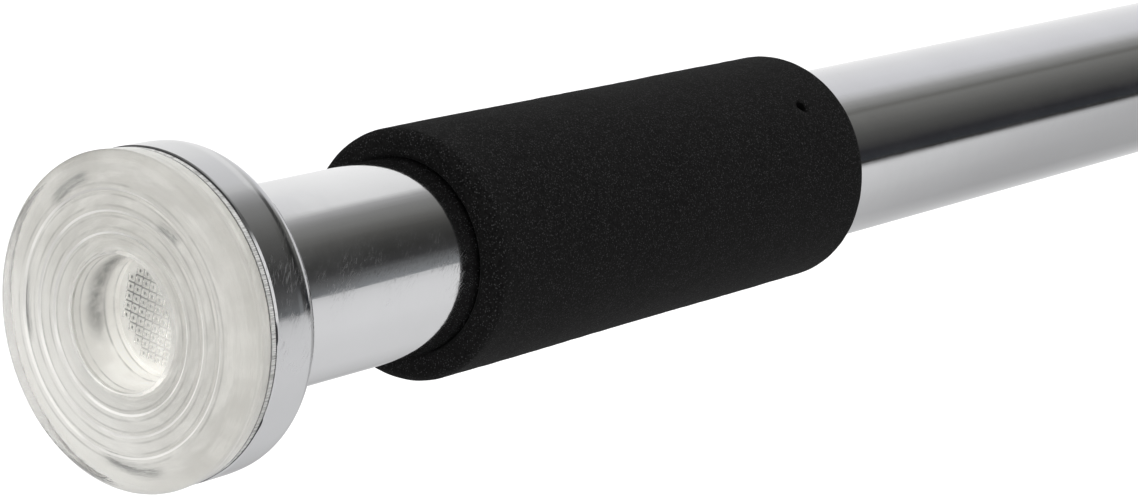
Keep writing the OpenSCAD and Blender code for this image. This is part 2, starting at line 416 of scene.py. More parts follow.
def clear_vinyl():
    """Clear soft vinyl gone a little milky, with concentric flow marks under a glossy skin, and painted shade
    lines beside its rings.
    """
    made, tree, shader = new_material("clear_vinyl", Transmission_Weight=0.9, IOR=1.36, Coat_Weight=0.5,
                                      Coat_Roughness=0.04, Coat_IOR=1.5)
    grain = use_group(tree, GRAIN, {"Grain Scale": 700.0, "Speck Scale": 900.0, "Speck Size": 0.08})
    _, radius, _ = polar(tree)
    rings = drawn_round(tree, across=700.0, along=2.2)
    flow = noisy(tree, rings, 1.0, detail=4.0, roughness=0.65)
    tone = mixed(tree, smooth(tree, flow, start=0.25, end=0.75), (0.95, 0.945, 0.925), (1.0, 0.995, 0.98))
    # Painted shade: thin grey lines beside the moulded rings
    feed(shader, "Base Color", mixed(tree, ring_shade_lines(tree, radius), tone, RING_SHADE_GREY))
    feed(shader, "Roughness", smooth(tree, grain["Patches"], start=0.3, end=0.7, low=0.05, high=0.13))
    threads = noisy(tree, rings, 4.0)
    fine = plus(tree, times(tree, grain["Grain"], 0.5), times(tree, threads, 0.25))
    bump(tree, shader, plus(tree, flow, fine), strength=0.6, distance=0.12 * MM)
    return made


def cloudy(tree, light, dark):
    """Cloudy tones drawn out round the axis."""
    drawn = noisy(tree, drawn_round(tree, across=500.0, along=2.1), 1.0, detail=5.0, roughness=0.7)
    broad = smooth(tree, drawn, start=0.3, end=0.7)
    fine = streaks(tree, 1700.0, low=0.35)
    return mixed(tree, times(tree, broad, fine), dark, light)


def milky_core():
    """Cloudy vinyl inside the clear skin, with the dark cup's reflections painted on as dark arcs, and
    painted lighter towards one side.
    """
    made, tree, shader = new_material("milky_core", Roughness=0.45)
    _, radius, hour = polar(tree)
    # Painted reflection: dark arcs where the dark chrome cup would show through the vinyl
    painted_dark_share = strongest(tree, [soft_arc(tree, radius, hour, row) for row in PAINTED_CUP_REFLECTIONS])
    tone = cloudy(tree, (0.86, 0.85, 0.82), (0.63, 0.62, 0.59))
    # Painted light: the core's tone is lightened towards one lower side of the pad's face
    _, y, z = position(tree)
    painted_light_share = smooth(tree, maths(tree, "SUBTRACT", y, z), start=2.0 * MM, end=30.0 * MM, high=0.75)
    tone = mixed(tree, painted_light_share, tone, (0.97, 0.965, 0.945))
    painted_dark_share = times(tree, painted_dark_share, streaks(tree, 2600.0, low=0.3))
    feed(shader, "Base Color", mixed(tree, painted_dark_share, tone, PAINTED_DARK))
    return made


def milky_lining():
    """Brighter cloudy vinyl round and behind the recess, with painted shade as a dark arc part of the way
    down and as grey lines at its folds, and a painted glow.
    """
    made, tree, shader = new_material("milky_lining", Roughness=0.4, Emission_Strength=PAINTED_LINING_GLOW)
    x, _, hour = polar(tree)
    depth = maths(tree, "MINIMUM", x, maths(tree, "SUBTRACT", BAR_LENGTH, x))
    clouds = noisy(tree, on_piece(tree), 220.0)
    tone = mixed(tree, smooth(tree, clouds, start=0.35, end=0.65), (0.87, 0.86, 0.835), (0.98, 0.975, 0.95))
    folds = strongest(tree, [thin_ring(tree, depth, fold_depth, width) for fold_depth, width in BORE_FOLDS])
    # Painted shade: grey lines at the folds round the bore
    tone = mixed(tree, uneven(tree, folds, 200.0, low=0.15), tone, RING_SHADE_GREY)
    # Painted shade: a dark arc part of the way down the bore
    painted_dark_share = uneven(tree, soft_arc(tree, depth, hour, BORE_PAINTED_SHADE), 500.0, low=0.6)
    tone = mixed(tree, painted_dark_share, tone, PAINTED_DARK)
    foot = smooth(tree, away_from(tree, hour, FOOT_HOUR), *FOOT_FADES)
    # Painted glow, weaker towards the mouth of the bore and at its foot
    painted_glow = times(tree, smooth(tree, depth, *PAINTED_GLOW_DEEPENS), foot)
    feed(shader, "Base Color", tone)
    feed(shader, "Emission Color", mixed(tree, painted_glow, BLACK, tone))
    return made


def black_foam():
    """Matte closed-cell foam with a fine speckled grain, and one small pit painted near black as shade."""
    made, tree, shader = new_material("black_foam", Specular_IOR_Level=0.1, Sheen_Weight=0.012,
                                      Sheen_Roughness=0.5)
    grain = use_group(tree, GRAIN, {"Grain Scale": 1900.0, "Speck Scale": 2500.0, "Speck Size": 0.26})
    cells = times(tree, smooth(tree, grain["Grain"], start=0.35, end=0.65), 0.7)
    shade = plus(tree, cells, times(tree, grain["Patches"], 0.3))
    dark = mixed(tree, shade, (0.0010, 0.0010, 0.0011), (0.0092, 0.0091, 0.009))
    tone = mixed(tree, times(tree, grain["Specks"], 0.8), dark, (0.072, 0.072, 0.074))
    places = {0: on_piece(tree), 1: PIT_MIDDLE}
    off = node(tree, "ShaderNodeVectorMath", places, operation="DISTANCE").outputs["Value"]
    # Painted shade: near black in the pit
    feed(shader, "Base Color", mixed(tree, smooth(tree, off, *PIT_FADES), tone, PIT_PAINTED_SHADE))
    feed(shader, "Roughness", smooth(tree, grain["Grain"], start=0.2, end=0.8, low=0.75, high=0.95))
    bump(tree, shader, grain["Grain"], strength=0.9, distance=0.15 * MM)
    return made


def ribbed_vinyl():
    """Cloudy vinyl with painted shade in fine grooves across its band."""
    made, tree, shader = new_material("ribbed_vinyl", Roughness=0.35)
    lines = noisy(tree, on_piece(tree, (0.04, 1, 1)), 5200.0, detail=1.0)
    # Painted shade: the fine grooves between the ribs are coloured darker
    grooves = smooth(tree, lines, start=0.38, end=0.58)
    feed(shader, "Base Color", mixed(tree, grooves, (0.44, 0.44, 0.43), (0.74, 0.74, 0.725)))
    return made


def frosted_vinyl():
    """The cloudy outer slope of a moulded ring, stronger in some places than in others."""
    made, tree, shader = new_material("frosted_vinyl", Roughness=0.3)
    share = smooth(tree, noisy(tree, drawn_round(tree, across=300.0, along=1.3), 1.0), start=0.35, end=0.6)
    feed(shader, "Base Color", mixed(tree, share, (0.62, 0.61, 0.59), (0.85, 0.84, 0.81)))
    return made


def painted_groove_shade():
    """Painted shade in the grooves of the recess floor, that fades out towards its lower front."""
    made, tree, shader = new_material("painted_groove_shade", Roughness=0.6)
    _, y, z = position(tree)
    # Painted shade: dark grooves upwards and away from the front, light towards the lower front
    share = smooth(tree, maths(tree, "MULTIPLY_ADD", z, 0.4, y), start=-2.0 * MM, end=8.0 * MM)
    feed(shader, "Base Color", mixed(tree, share, (0.84, 0.83, 0.81), (0.27, 0.27, 0.26)))
    return made


def turned_metal(name, light, dark, roughness):
    """Turned or plated metal with fine rings."""
    made, tree, shader = new_material(name, Metallic=1.0)
    lines = use_group(tree, LINES, {"Scale": 5000.0})
    feed(shader, "Base Color", mixed(tree, lines["Tone"], light, dark))
    rough = smooth(tree, lines["Lines"], start=0.2, end=0.8, low=roughness * 0.7, high=roughness * 1.3)
    feed(shader, "Roughness", rough)
    bump(tree, shader, lines["Lines"], strength=0.4, distance=0.02 * MM)
    return made


def moulded_plastic(name, light, dark, roughness):
    """Satin moulded plastic with a faint grain."""
    made, tree, shader = new_material(name)
    grain = use_group(tree, GRAIN, {"Grain Scale": 1800.0, "Speck Scale": 900.0, "Speck Size": 0.05})
    feed(shader, "Base Color", mixed(tree, grain["Patches"], light, dark))
    rough = smooth(tree, grain["Grain"], start=0.2, end=0.8, low=roughness * 0.85, high=roughness * 1.15)
    feed(shader, "Roughness", rough)
    bump(tree, shader, grain["Grain"], strength=0.25, distance=0.03 * MM)
    return made


FINISHES = {
    "chrome_steel": chrome_plate("chrome_tube", light=(0.84, 0.845, 0.855), dark=(0.77, 0.77, 0.775),
                                 gloss=0.06, wear=0.15, relief=0.8),
    "clear_vinyl": clear_vinyl(),
    "black_foam": black_foam(),
    "zinc_steel": turned_metal("zinc_plate", (0.62, 0.63, 0.65), (0.50, 0.51, 0.54), roughness=0.28),
    "bare_steel": turned_metal("turned_steel", (0.40, 0.40, 0.41), (0.30, 0.30, 0.31), roughness=0.36),
    "brass": turned_metal("turned_brass", (0.72, 0.55, 0.25), (0.58, 0.42, 0.18), roughness=0.30),
    "black_plastic": moulded_plastic("black_plastic", (0.035, 0.035, 0.037), (0.022, 0.022, 0.024),
                                     roughness=0.42),
    "white_nylon": moulded_plastic("white_nylon", (0.80, 0.78, 0.71), (0.70, 0.68, 0.61), roughness=0.45),
}
PRESSED_CHROME = chrome_plate("pressed_chrome", light=(0.76, 0.765, 0.775), dark=(0.68, 0.68, 0.685),
                              gloss=0.075, wear=0.25, relief=0.5)
MILKY_CORE = milky_core()
MILKY_LINING = milky_lining()
FROSTED_VINYL = frosted_vinyl()
RIBBED_VINYL = ribbed_vinyl()
PAINTED_GROOVE_SHADE = painted_groove_shade()


# ---- mesh tools


def arc(x, r, radius, start, end, steps):
    """Points of an arc in the (x, r) plane about a centre, with angles in degrees from +x towards +r."""
    angles = (math.radians(start + (end - start) * i / steps) for i in range(steps + 1))
    return [(x + radius * math.cos(a), r + radius * math.sin(a)) for a in angles]


def from_mm(points):
    """Points given in millimetres, in metres."""
    return [(x * MM, r * MM) for x, r in points]


def subdivided(points, step):
    """The same run of points with more between them, none further apart than a step."""
    fine = [points[0]]
    for (x0, r0), (x1, r1) in zip(points, points[1:]):
        count = max(1, math.ceil(math.hypot(x1 - x0, r1 - r0) / step))
        fine += [(x0 + (x1 - x0) * i / count, r0 + (r1 - r0) * i / count) for i in range(1, count + 1)]
    return fine


def turned(outline, segments, shape=None, closed=True):
    """Vertices and faces of a run of (x, r) points turned about the bar's axis, closed or left open."""
    angles = [FULL_TURN * i / segments for i in range(segments)]
    vertices = []
    for x, r in outline:
        for a in angles:
            px, pr = shape(x, r, a) if shape else (x, r)
            vertices.append((px, pr * math.cos(a), pr * math.sin(a)))
    faces = []
    for ring in range(len(outline) if closed else len(outline) - 1):
        first, second = ring * segments, (ring + 1) % len(outline) * segments
        for i in range(segments):
            j = (i + 1) % segments
            faces.append((first + i, first + j, second + j, second + i))
    return vertices, faces


def joined(*meshes):
    """Several (vertices, faces) as one."""
    vertices, faces = [], []
    for more_vertices, more_faces in meshes:
        faces += [tuple(i + len(vertices) for i in f) for f in more_faces]
        vertices += more_vertices
    return vertices, faces


def face_outwards(data):
    """Turns all of a mesh's faces outwards."""
    mesh = bmesh.new()
    mesh.from_mesh(data)
    bmesh.ops.recalc_face_normals(mesh, faces=mesh.faces)
    mesh.to_mesh(data)
    mesh.free()


def added(name, data):
    """A new object in the scene."""
    made = bpy.data.objects.new(name, data)
    bpy.context.scene.collection.objects.link(made)
    return made


def piece(name, body, slot, mesh, replaced=(), mirrored=False, sharp=35, finish=None):
    """Makes a piece from (vertices, faces), turned to the far end if mirrored, riding on a body."""
    vertices, faces = mesh
    if mirrored:
        vertices = [(BAR_LENGTH - x, y, z) for x, y, z in vertices]
        faces = [tuple(reversed(f)) for f in faces]
    data = bpy.data.meshes.new(name)
    data.from_pydata(vertices, [], faces)
    data.validate()
    data.shade_smooth()
    data.set_sharp_from_angle(angle=math.radians(sharp))
    face_outwards(data)
    data.materials.append(finish or FINISHES[slot])
    made = added(name, data)
    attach(made, body)
    if replaced:
        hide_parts(*replaced)
    return made


# ---- pads

PAD_SEGMENTS = 240
# Left between a pad's parts, where they would otherwise share a face
GAP = 0.02 * MM

RECESS_R = 10.3 * MM
RECESS_FLOOR_R = 9.2 * MM
RECESS_DEPTH = 9.6 * MM
RECESS_FILLET = 0.25 * MM
# The recess's rounded mouth: depth and distance out from the recess, in millimetres
RECESS_MOUTH = [(0.25, -0.05), (0.05, 0.1), (0.0, 0.3)]
RING_W = 0.42 * MM
RING_H = 0.30 * MM
# A moulded ring groove: shares of its depth and of its half width, from its inner side to its outer side
RING_PROFILE = [(0, -1), (0.35, -0.93), (1, -0.7), (1, -0.35), (0.7, -0.1), (0.15, 0.7), (0, 1)]
RIM_ROUND = 1.8 * MM
RIM_TAPER = 0.2 * MM
RIM_EDGE = 0.2 * MM

BAND_FRONT = 5.25 * MM
BAND_BACK = CUP_LOW.x - 0.14 * MM
BAND_FLOOR_R = PAD_R - 1.1 * MM
CUP_INSIDE_R = CUP_R - CUP_SHEET
SKIRT_GAP = 0.05 * MM
SKIRT_BEND = 1.4 * MM
CHANNEL_IN = 12.6 * MM
CHANNEL_OUT = 20.6 * MM
CHANNEL_DEPTH = 6.4 * MM
CHANNEL_ROUND = 0.8 * MM
CHANNEL_DRAFT = 0.2 * MM
HEAD_GAP = 0.3 * MM
HEAD_POCKET_R = PIN_HEAD_R + HEAD_GAP
HEAD_POCKET_X = PIN_LOW.x - HEAD_GAP


def pad_front():
    """Outline of the pad from its recess floor, over the ringed face, to the skirt inside the cup.

    Also gives the rows of the outline where the rings' outer slopes are left frosted.
    """
    points = arc(RECESS_DEPTH - RECESS_FILLET, RECESS_FLOOR_R - RECESS_FILLET, RECESS_FILLET, 0, 90, steps=6)
    points += [(depth * MM, RECESS_R + out * MM) for depth, out in RECESS_MOUTH]
    frosted = [len(points) - 3]
    for middle in RING_RADII:
        points += [(depth * RING_H, middle + out * RING_W) for depth, out in RING_PROFILE]
        frosted.append(len(points) - 3)
    points += arc(RIM_ROUND, PAD_R - RIM_ROUND, RIM_ROUND, 180, 90, steps=8)
    rim_end = PAD_R - RIM_TAPER
    points += [(BAND_FRONT - RIM_EDGE, rim_end), (BAND_FRONT, rim_end - RIM_EDGE), (BAND_FRONT, BAND_FLOOR_R)]
    points += [(BAND_BACK, BAND_FLOOR_R), (BAND_BACK, CUP_INSIDE_R - SKIRT_GAP)]
    return points, frosted


def pad_back():
    """Outline of the pad's back, from its skirt, through the moulded channel, to the pin head's pocket."""
    back = PAD_BACK - GAP
    corner_x = PAD_BACK - CHANNEL_DEPTH + CHANNEL_ROUND
    wall_r = CHANNEL_OUT - CHANNEL_DRAFT
    points = [(PAD_BACK - SKIRT_BEND, CUP_INSIDE_R - SKIRT_GAP), (back, CUP_INSIDE_R - SKIRT_BEND)]
    points += [(back, CHANNEL_OUT), (corner_x, wall_r)]
    points += arc(corner_x, wall_r - CHANNEL_ROUND, CHANNEL_ROUND, 90, 180, steps=4)[1:]
    points += arc(corner_x, CHANNEL_IN + CHANNEL_DRAFT + CHANNEL_ROUND, CHANNEL_ROUND, 180, 270, steps=4)
    points += [(back, CHANNEL_IN), (back, HEAD_POCKET_R)]
    points += [(HEAD_POCKET_X, HEAD_POCKET_R), (HEAD_POCKET_X, HEAD_POCKET_R / 2)]
    return points


# The knurled field of square frames on the recess floor
FRAME_PITCH = 1.5 * MM
FRAME_TURN = Matrix.Rotation(math.radians(13), 2)
# The squares that make up one frame, from outside to inside: half their width and their height
FRAME_SQUARES = ((0.61 * MM, 0.0), (0.52 * MM, 0.34 * MM), (0.38 * MM, 0.34 * MM), (0.24 * MM, 0.02 * MM))
FRAME_CORNERS = ((-1, -1), (1, -1), (1, 1), (-1, 1))
# How far a frame's middle stays from the edge of the floor
FRAME_MARGIN = 0.87 * MM
# A place lower than this is in a groove between or inside the frames
GROOVE_HEIGHT = 0.03 * MM
FLOOR_R = RECESS_FLOOR_R - RECESS_FILLET
MERGE_DISTANCE = 1e-9


def frame_middles():
    """The middles of the frames that fit on the recess floor."""
    reach = int(FLOOR_R / FRAME_PITCH) + 1
    steps = range(-reach, reach + 1)
    middles = [FRAME_TURN @ Vector((column, row)) * FRAME_PITCH for row in steps for column in steps]
    return [middle for middle in middles if middle.length <= FLOOR_R - FRAME_MARGIN]


def frame_lines():
    """Places, edges and heights of the recess floor: its rim, and the squares and middle of each frame."""
    angles = [FULL_TURN * i / PAD_SEGMENTS for i in range(PAD_SEGMENTS)]
    places = [Vector((FLOOR_R * math.cos(a), FLOOR_R * math.sin(a))) for a in angles]
    edges = [(i, (i + 1) % PAD_SEGMENTS) for i in range(PAD_SEGMENTS)]
    heights = [0.0] * PAD_SEGMENTS
    for middle in frame_middles():
        for half, height in FRAME_SQUARES:
            start = len(places)
            places += [middle + FRAME_TURN @ Vector(corner) * half for corner in FRAME_CORNERS]
            heights += [height] * len(FRAME_CORNERS)
            edges += [(start + k, start + (k + 1) % 4) for k in range(4)]
        places.append(middle)
        heights.append(0.0)
    return places, edges, heights


def recess_floor():
    """The knurled floor's own vertices, its triangles, and which triangles are in a groove.

    A triangle gives a vertex of the floor's rim as its number, and one of its own as -1 less its number.
    """
    places, edges, heights = frame_lines()
    flat, _, triangles, origins, _, _ = geometry.delaunay_2d_cdt(places, edges, [], 1, MERGE_DISTANCE)
    index, vertices, low = {}, [], set()
    for i, (place, origin) in enumerate(zip(flat, origins)):
        source = min(origin) if origin else None
        if source is not None and source < PAD_SEGMENTS:
            index[i] = source
            continue
        height = heights[source] if source is not None else 0.0
        index[i] = -1 - len(vertices)
        vertices.append((RECESS_DEPTH - height, place.x, place.y))
        if height < GROOVE_HEIGHT:
            low.add(i)
    return vertices, [tuple(index[i] for i in t) for t in triangles], [low.issuperset(t) for t in triangles]


def pad_mesh():
    """The whole pad as one closed skin, with its groove faces that get painted shade and its frosted faces.
    """
    front, frosted_rows = pad_front()
    outline = front + pad_back()
    vertices, faces = turned(outline, PAD_SEGMENTS, closed=False)
    last = (len(outline) - 1) * PAD_SEGMENTS
    hub = len(vertices)
    vertices.append((outline[-1][0], 0.0, 0.0))
    faces += [(last + i, last + (i + 1) % PAD_SEGMENTS, hub) for i in range(PAD_SEGMENTS)]
    floor_vertices, triangles, grooves = recess_floor()
    base = len(vertices)
    plain = len(faces)
    vertices += floor_vertices
    faces += [tuple(i if i >= 0 else base - 1 - i for i in t) for t in triangles]
    # The groove faces that get painted shade
    dark = [plain + i for i, groove in enumerate(grooves) if groove]
    frosted = [row * PAD_SEGMENTS + i for row in frosted_rows for i in range(PAD_SEGMENTS)]
    return vertices, faces, dark, frosted


BAND_RIBS = 480
BAND_RIB_H = 0.14 * MM
BAND_OUT = PAD_R - 0.3 * MM
BAND_IN = BAND_FLOOR_R + 0.05 * MM
BAND_EDGE = 0.1 * MM


def ribbed(x, r, angle):
    """Sinks the band's outer side between its ribs."""
    rib = 0.5 + 0.5 * math.cos(BAND_RIBS * angle)
    return x, r - (BAND_RIB_H * rib if r > BAND_IN + BAND_EDGE / 2 else 0)


def band_mesh():
    """The finely ribbed band of the pad that shows between its lip and the cup."""
    low, high = BAND_FRONT + GAP / 2, BAND_BACK - GAP
    outline = [(low, BAND_IN), (low, BAND_OUT - BAND_EDGE), (low + BAND_EDGE, BAND_OUT),
               (high - BAND_EDGE, BAND_OUT), (high, BAND_OUT - BAND_EDGE), (high, BAND_IN)]
    return turned(outline, 2 * BAND_RIBS, ribbed)


# The milky core's front, as (depth, radius) in millimetres from the edge of the recess to the rim
CORE_DISH = [(1.0, 10.85), (1.15, 11.3), (2.6, 12.2), (4.1, 13.6), (5.0, 15.4), (5.3, 17.5), (5.1, 20.0),
             (4.4, 22.4), (3.5, 24.2), (3.6, 24.7), (4.2, 24.85), (5.1, 24.65)]
# The same for its underside, from under the rim to beside the recess
CORE_UNDER = [(5.1, 23.1), (9.0, 23.1), (9.0, 11.5), (3.2, 11.5), (1.4, 10.85)]
CORE_STEP = 0.5 * MM
LINING_IN = 10.8 * MM
LINING_OUT = 11.4 * MM
LINING_FRONT = 1.5 * MM
LINING_BACK = 12.2 * MM
# The milky disc behind the recess floor
DISC_FRONT = RECESS_DEPTH + 0.5 * MM
DISC_BACK = RECESS_DEPTH + 1.0 * MM
DISC_IN = 0.3 * MM
DISC_OUT = LINING_IN - 0.15 * MM


def square_outline(low, high, inner, outer):
    """Closed outline of a plain ring."""
    return [(low, inner), (low, outer), (high, outer), (high, inner)]


def core_mesh():
    """A milky ring inside the clear vinyl, dished in front, from round the recess to under the rim."""
    outline = subdivided(from_mm(CORE_DISH), CORE_STEP) + from_mm(CORE_UNDER)
    return turned(outline, PAD_SEGMENTS)


def lining_mesh():
    """A milky sleeve round the recess, and a disc behind its floor."""
    sleeve = square_outline(LINING_FRONT, LINING_BACK, LINING_IN, LINING_OUT)
    disc = square_outline(DISC_FRONT, DISC_BACK, DISC_IN, DISC_OUT)
    return joined(turned(sleeve, PAD_SEGMENTS), turned(disc, PAD_SEGMENTS))


# A dark ring in the gap between the pad and its cup, put there as painted shade
SHADE_RING_SEGMENTS = 256
SHADE_RING_OUT = CUP_OUT - 0.06 * MM
SHADE_RING_IN = CUP_R - 0.8 * MM
SHADE_RING_FRONT = BAND_BACK + 0.03 * MM
SHADE_RING_BACK = CUP_LOW.x + GAP
SHADE_RING_DROP = 0.5 * MM
# Where round the pad the dark ring is lowered so that the cup's bright lip shows: its middle and half of how
# far, both in degrees, and what share of the full drop it takes
SHADE_RING_DROPS_AT = [(70, 16, 1.0), (155, 21, 1.0), (195, 15, 1.0), (228, 18, 0.25)]
GAP_EASE = 5


def dropped_share(turn, row):
    """How much of the full drop one lowered stretch of the dark ring takes at a place round the pad."""
    middle, half, most = row
    return most * min(1.0, max(0.0, (half - abs(turn - middle)) / GAP_EASE))


def lowered_where_lit(x, r, angle):
    """The dark ring of painted shade is lowered where the cup's lip shows bright."""
    share = max(dropped_share(math.degrees(angle), row) for row in SHADE_RING_DROPS_AT)
    return x, r - (share * SHADE_RING_DROP if r > (SHADE_RING_IN + SHADE_RING_OUT) / 2 else 0)


def shade_ring_mesh():
    """A thin dark ring in the gap between the pad and its cup, put there as painted shade."""
    outline = square_outline(SHADE_RING_FRONT, SHADE_RING_BACK, SHADE_RING_IN, SHADE_RING_OUT)
    return turned(outline, SHADE_RING_SEGMENTS, lowered_where_lit)


def make_pads():
    """A clear pad at each end, with what shows inside and behind its skin."""
    vertices, faces, dark, frosted = pad_mesh()
    # The dark ring in the gap between pad and cup is painted shade
    inside = (("_pad_core", core_mesh(), MILKY_CORE), ("_pad_lining", lining_mesh(), MILKY_LINING),
              ("_pad_band", band_mesh(), RIBBED_VINYL), ("_pad_shade_ring", shade_ring_mesh(), FINISHES["black_plastic"]))
    for end, body, mirrored in ENDS:
        made = piece(end + "_soft_pad", body, "clear_vinyl", (vertices, faces), [end + "_pad"], mirrored)
        for index, finish, chosen in ((1, PAINTED_GROOVE_SHADE, dark), (2, FROSTED_VINYL, frosted)):
            made.data.materials.append(finish)
            for i in chosen:
                made.data.polygons[i].material_index = index
        for name, mesh, finish in inside:
            piece(end + name, body, "clear_vinyl", mesh, (), mirrored, finish=finish)


# ---- grips

GRIP_SEGMENTS = 192
GRIP_STEP = 0.8 * MM
GRIP_ROUND = 1.6 * MM
GRIP_BORE = TUBE_R + 0.03 * MM
GRIP_BORE_EDGE = 0.5 * MM
# How much the foam is ground down on the whole, and by slow and by fine unevenness
GROUND = 0.06 * MM
SLOW_GROUND = 0.12 * MM
FINE_GROUND = 0.05 * MM
SLOW_SCALE = 45
FINE_SCALE = 400


def grip_outline(low, high):
    """Closed outline of a foam sleeve with rounded ends."""
    outer = arc(low + GRIP_ROUND, GRIP_R - GRIP_ROUND, GRIP_ROUND, 180, 90, steps=8)
    outer += arc(high - GRIP_ROUND, GRIP_R - GRIP_ROUND, GRIP_ROUND, 90, 0, steps=8)
    points = [(low + GRIP_BORE_EDGE, GRIP_BORE), (low, GRIP_BORE + GRIP_BORE_EDGE)] + outer
    points += [(high, GRIP_BORE + GRIP_BORE_EDGE), (high - GRIP_BORE_EDGE, GRIP_BORE)]
    return subdivided(points, GRIP_STEP)


def foam_shape(seed):
    """Slow and fine unevenness of cut and ground foam, and the near grip's pit."""
    def shape(x, r, angle):
        share = min(1.0, max(0.0, (r - GRIP_BORE) / (GRIP_R - GRIP_BORE)))
        at = Vector((x, r * math.cos(angle), r * math.sin(angle)))
        slow = noise.noise(at * SLOW_SCALE + Vector((seed, 0, 0)))
        fine = noise.noise(at * FINE_SCALE + Vector((0, seed, 0)))
        drop = max(GROUND + SLOW_GROUND * slow + FINE_GROUND * fine, 0.0)
        off = min(1.0, (at - PIT_MOUTH).length / PIT_R)
        return x, r - share * drop - PIT_DEPTH * (1 - off * off)
    return shape


def make_grips():
    """Two foam sleeves on the outer tube, each with its own unevenness."""
    ends = (("near", GRIP_LOW, GRIP_HIGH, 3.0), ("far", FAR_GRIP_LOW, FAR_GRIP_HIGH, 8.0))
    for end, low, high, seed in ends:
        mesh = turned(grip_outline(low.x, high.x), GRIP_SEGMENTS, foam_shape(seed))
        made = piece(end + "_foam_grip", "outer_bar", "black_foam", mesh, [end + "_grip"], sharp=60)


# ---- chromed tubes and cups

TUBE_SEGMENTS = 256
TUBE_WALL = 1.2 * MM
TUBE_EDGE = 0.2 * MM
CUP_BORE = 4.0 * MM
LIP_BEVEL = 0.28 * MM
SHOULDER_X = CUP_HIGH.x - 4.4 * MM
SHOULDER_W = 2.1 * MM
SHOULDER_TILT = 6
# Rows close beside a curve, that keep the flat part beyond them flat
HOLD = 0.15 * MM


def tube_outline(low, high, radius):
    """Closed outline of a tube with slightly broken edges."""
    bore = radius - TUBE_WALL
    return [(low, bore + TUBE_EDGE), (low, radius - TUBE_EDGE), (low + TUBE_EDGE, radius),
            (high - TUBE_EDGE, radius), (high, radius - TUBE_EDGE), (high, bore + TUBE_EDGE),
            (high - TUBE_EDGE, bore), (low + TUBE_EDGE, bore)]


def cup_outline():
    """Closed outline of a pressed cup: bevelled lip, wall, eased shoulder, bend, floor and its bore."""
    tilt = math.radians(SHOULDER_TILT)
    ease = SHOULDER_W / math.sin(tilt)
    shoulder = arc(SHOULDER_X, CUP_OUT - ease, ease, 90, 90 - SHOULDER_TILT, steps=4)
    end_x, end_r = shoulder[-1]
    bend = (CUP_HIGH.x - end_x) / (1 - math.sin(tilt))
    bend_x, bend_r = end_x - bend * math.sin(tilt), end_r - bend * math.cos(tilt)
    lip_in, bevel_end = CUP_OUT - CUP_SHEET, CUP_LOW.x + LIP_BEVEL
    points = [(bevel_end, lip_in), (CUP_LOW.x, lip_in + LIP_BEVEL), (CUP_LOW.x, CUP_OUT - LIP_BEVEL)]
    points += [(bevel_end, CUP_OUT), (bevel_end + HOLD, CUP_OUT), (SHOULDER_X - HOLD, CUP_OUT)] + shoulder
    points += arc(bend_x, bend_r, bend, 90 - SHOULDER_TILT, 0, steps=14)[1:]
    points += [(CUP_HIGH.x, bend_r - HOLD), (CUP_HIGH.x, CUP_BORE), (CUP_HIGH.x - CUP_SHEET, CUP_BORE)]
    return points + arc(bend_x, bend_r, bend - CUP_SHEET, 0, 90, steps=6)


def make_chrome():
    """Outer and inner tube, and a cup at each end."""
    for which in ("outer", "inner"):
        solid = which + "_tube"
        low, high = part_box(solid)
        mesh = turned(tube_outline(low.x, high.x, high.y), TUBE_SEGMENTS)
        piece(which + "_chrome_tube", which + "_bar", "chrome_steel", mesh, [solid])
    mesh = turned(cup_outline(), TUBE_SEGMENTS)
    for end, body, mirrored in ENDS:
        solid = end + "_cup"
        piece(end + "_chrome_cup", body, "chrome_steel", mesh, [solid], mirrored, finish=PRESSED_CHROME)


def finish_solids():
    """The pieces whose solid shape is right keep it, and get their finish."""
    slots = {row["node"]: row["material_slot"] for row in frame["record"]["subparts"]}
    for name, solid in frame["nodes"].items():
        solid.data.materials.clear()
        solid.data.materials.append(FINISHES[slots[name]])


# ---- studio

# What polished metal sees round the bar, from the roll in degrees: level in front is 0 and straight up is 90.
# First beside the cup, then further and further along.
CUP_STUDIO = [(-180, 0.93), (-30, (0.13, 0.135, 0.14)), (-2, (0.13, 0.135, 0.14)), (5, 0.085), (15, 0.068),
              (25, (0.056, 0.056, 0.055)), (36, (0.09, 0.09, 0.088)), (48, (0.12, 0.12, 0.116)),
              (60, (0.175, 0.175, 0.17)), (73, (0.25, 0.25, 0.246)), (80, 0.33), (86, 0.47), (91, 0.62),
              (97, (0.70, 0.70, 0.71)), (110, (0.76, 0.76, 0.77)), (122, (0.80, 0.80, 0.81)), (134, 0.86),
              (147, 0.90), (180, 0.90)]
NEAR_STUDIO = [(-180, 0.93), (-30, (0.24, 0.25, 0.26)), (-3, (0.24, 0.25, 0.26)), (5, (0.17, 0.175, 0.18)),
               (15, (0.045, 0.045, 0.046)), (27, (0.038, 0.038, 0.037)), (38, (0.052, 0.052, 0.050)),
               (48, (0.082, 0.081, 0.077)), (57, (0.135, 0.134, 0.128)), (66, (0.20, 0.20, 0.194)),
               (76, (0.25, 0.25, 0.246)), (86, 0.40), (95, 0.80), (116, 0.88), (140, 0.94), (165, 0.97),
               (180, 0.93)]
BEND_STUDIO = [(-180, 0.8), (-30, 0.10), (-2, 0.10), (5, 0.04), (15, 0.03), (35, 0.02),
               (60, (0.035, 0.035, 0.034)), (73, (0.055, 0.055, 0.053)), (85, 0.11), (92, 0.35), (97, 0.52),
               (110, 0.64), (122, (0.76, 0.76, 0.77)), (147, 0.80), (180, 0.9)]
